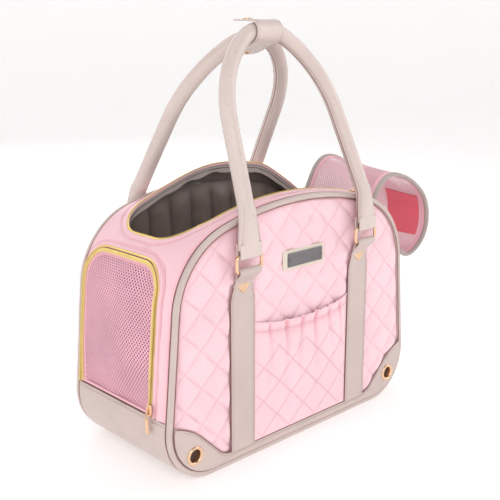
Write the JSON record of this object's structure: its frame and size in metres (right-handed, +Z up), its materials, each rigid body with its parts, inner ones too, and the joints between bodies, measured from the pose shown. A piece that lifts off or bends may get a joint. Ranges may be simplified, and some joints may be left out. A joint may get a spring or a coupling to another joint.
{
  "type": "pet carrier bag",
  "caption": "Soft-sided handbag-shaped pet carrier with a zipped mesh end door, a roll-back mesh top cover, front pocket and two rolled handles.",
  "frame": {"origin": "centre of the base, on the ground", "axes": "+Z up; the front face with the pocket looks along -Y; the mesh door is at the -X end and the top cover is hinged at the +X end"},
  "size_m": [0.4959, 0.2182, 0.4854],
  "materials": {
    "quilt_pink": "satin, quilted",
    "smooth_pink": "soft matt coated fabric",
    "trim_beige": "fine grained coated fabric",
    "mesh_pink": "open knitted mesh",
    "zip_gold": "moulded zip teeth",
    "rose_gold": "polished rose gold plating",
    "lining_taupe": "satin",
    "mat_plush": "short plush",
    "board": "plain board",
    "cream_patch": "smooth",
    "gunmetal": "polished, blank",
    "rope_core": "cotton cord"
  },
  "bodies": {
    "bag": {"base_band": "trim_beige", "left_end_panel": "smooth_pink", "right_end_panel": "smooth_pink", "right_window_mesh": "mesh_pink", "front_rim_strip": "smooth_pink", "back_rim_strip": "smooth_pink", "front_panel": "quilt_pink", "back_panel": "quilt_pink", "front_board": "board", "back_board": "board", "base_board": "board", "front_piping": "trim_beige", "back_piping": "trim_beige", "front_base_trim": "trim_beige", "back_base_trim": "trim_beige", "eyelets": "rose_gold", "lining": "lining_taupe", "pocket": "quilt_pink", "pocket_elastic": "smooth_pink", "name_patch": "cream_patch", "name_plate": "gunmetal", "door_zip_frame": "zip_gold", "rim_zip": "zip_gold", "front_straps": "trim_beige", "back_straps": "trim_beige", "heart_studs": "rose_gold"},
    "mat": {"mat": "mat_plush"},
    "door": {"door_panel": "mesh_pink", "door_zip": "zip_gold"},
    "door_slider": {"door_slider": "rose_gold"},
    "door_pull": {"door_pull": "rose_gold"},
    "rim_slider": {"rim_slider": "rose_gold"},
    "rim_pull": {"rim_pull": "rose_gold"},
    "front_rings": {"front_rings": "rose_gold"},
    "front_handle": {"front_handle": "trim_beige", "front_handle_core": "rope_core", "front_handle_tabs": "trim_beige", "keeper": "trim_beige", "keeper_snaps": "rose_gold"},
    "back_rings": {"back_rings": "rose_gold"},
    "back_handle": {"back_handle": "trim_beige", "back_handle_core": "rope_core", "back_handle_tabs": "trim_beige"},
    "flap_1": {"flap_panel_1": "mesh_pink"},
    "flap_2": {"flap_panel_2": "mesh_pink"},
    "flap_3": {"flap_panel_3": "mesh_pink"},
    "flap_4": {"flap_panel_4": "mesh_pink"},
    "flap_5": {"flap_panel_5": "mesh_pink"},
    "flap_6": {"flap_panel_6": "mesh_pink"}
  },
  "joints": [
    {"name": "mat_lift", "type": "slide", "parent": "bag", "child": "mat", "axis": [0, 0, 1], "range_m": [0, 0.12]},
    {"name": "door_swing", "type": "hinge", "parent": "bag", "child": "door", "pos_m": [-0.2001, 0, 0.0772], "axis": [0, -1, 0], "range_deg": [0, 100]},
    {"name": "door_slider_slide", "type": "slide", "parent": "bag", "child": "door_slider", "axis": [0.0937, 0, 0.9956], "range_m": [0, 0.095]},
    {"name": "door_pull_flip", "type": "hinge", "parent": "door_slider", "child": "door_pull", "pos_m": [-0.2042, -0.0639, 0.079], "axis": [0, 1, 0], "range_deg": [0, 170]},
    {"name": "rim_slider_travel", "type": "hinge", "parent": "bag", "child": "rim_slider", "pos_m": [0, -0.0664, -0.11325], "axis": [0, -1, 0], "range_deg": [0, 32]},
    {"name": "rim_pull_flip", "type": "hinge", "parent": "rim_slider", "child": "rim_pull", "pos_m": [0.12438, -0.0664, 0.27888], "axis": [0, -1, 0], "range_deg": [0, 170]},
    {"name": "front_ring_swing", "type": "hinge", "parent": "bag", "child": "front_rings", "pos_m": [0, -0.1, 0.2255], "axis": [1, 0, 0], "range_deg": [0, 100]},
    {"name": "front_handle_swing", "type": "hinge", "parent": "front_rings", "child": "front_handle", "pos_m": [0, -0.1, 0.243], "axis": [1, 0, 0], "range_deg": [0, 60]},
    {"name": "back_ring_swing", "type": "hinge", "parent": "bag", "child": "back_rings", "pos_m": [0, 0.1, 0.2255], "axis": [-1, 0, 0], "range_deg": [0, 100]},
    {"name": "back_handle_swing", "type": "hinge", "parent": "back_rings", "child": "back_handle", "pos_m": [0, 0.1, 0.243], "axis": [-1, 0, 0], "range_deg": [0, 60]},
    {"name": "flap_fold_1", "type": "hinge", "parent": "bag", "child": "flap_1", "pos_m": [0.158, 0, 0.2535], "axis": [0, -1, 0], "range_deg": [0, 99]},
    {"name": "flap_fold_2", "type": "hinge", "parent": "flap_1", "child": "flap_2", "pos_m": [0.1914, 0, 0.29782], "axis": [0, -1, 0], "range_deg": [0, 82.6]},
    {"name": "flap_fold_3", "type": "hinge", "parent": "flap_2", "child": "flap_3", "pos_m": [0.24548, 0, 0.28534], "axis": [0, -1, 0], "range_deg": [0, 34.9]},
    {"name": "flap_fold_4", "type": "hinge", "parent": "flap_3", "child": "flap_4", "pos_m": [0.28799, 0, 0.24966], "axis": [0, -1, 0], "range_deg": [0, 55.8]},
    {"name": "flap_fold_5", "type": "hinge", "parent": "flap_4", "child": "flap_5", "pos_m": [0.28993, 0, 0.1942], "axis": [0, -1, 0], "range_deg": [0, 70]},
    {"name": "flap_fold_6", "type": "hinge", "parent": "flap_5", "child": "flap_6", "pos_m": [0.24187, 0, 0.16645], "axis": [0, -1, 0], "range_deg": [0, 99.2]}
  ]
}
